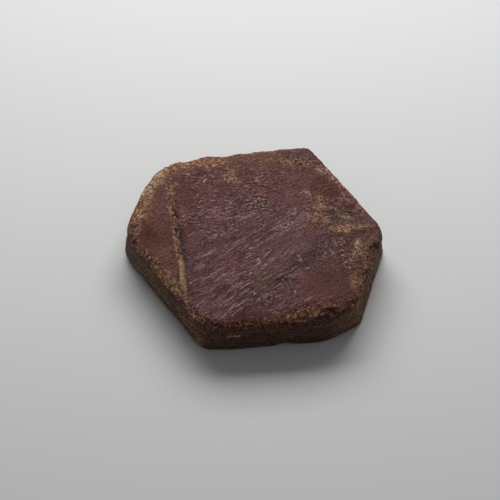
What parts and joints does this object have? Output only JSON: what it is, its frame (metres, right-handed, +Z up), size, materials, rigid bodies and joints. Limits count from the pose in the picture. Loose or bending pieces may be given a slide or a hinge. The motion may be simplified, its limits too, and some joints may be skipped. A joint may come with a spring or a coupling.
{
  "type": "raw ruby crystal",
  "caption": "Flat six-sided raw ruby crystal plate with worn edges, a raised strip along one side and a low growth step; rests on its broad base.",
  "frame": {"origin": "middle of the flat base that the plate rests on, under the centre of its plan box", "axes": "+Z up along the crystal's short c axis, +X along the longest way across the hexagon, +Y towards the straight back face"},
  "size_m": [0.0458, 0.0362, 0.0089],
  "materials": {
    "ruby": "dull purplish red-brown corundum with fine glinting striations, ochre and rust stains along the rims"
  },
  "bodies": {
    "root": {"ruby_crystal": "ruby"}
  },
  "joints": []
}
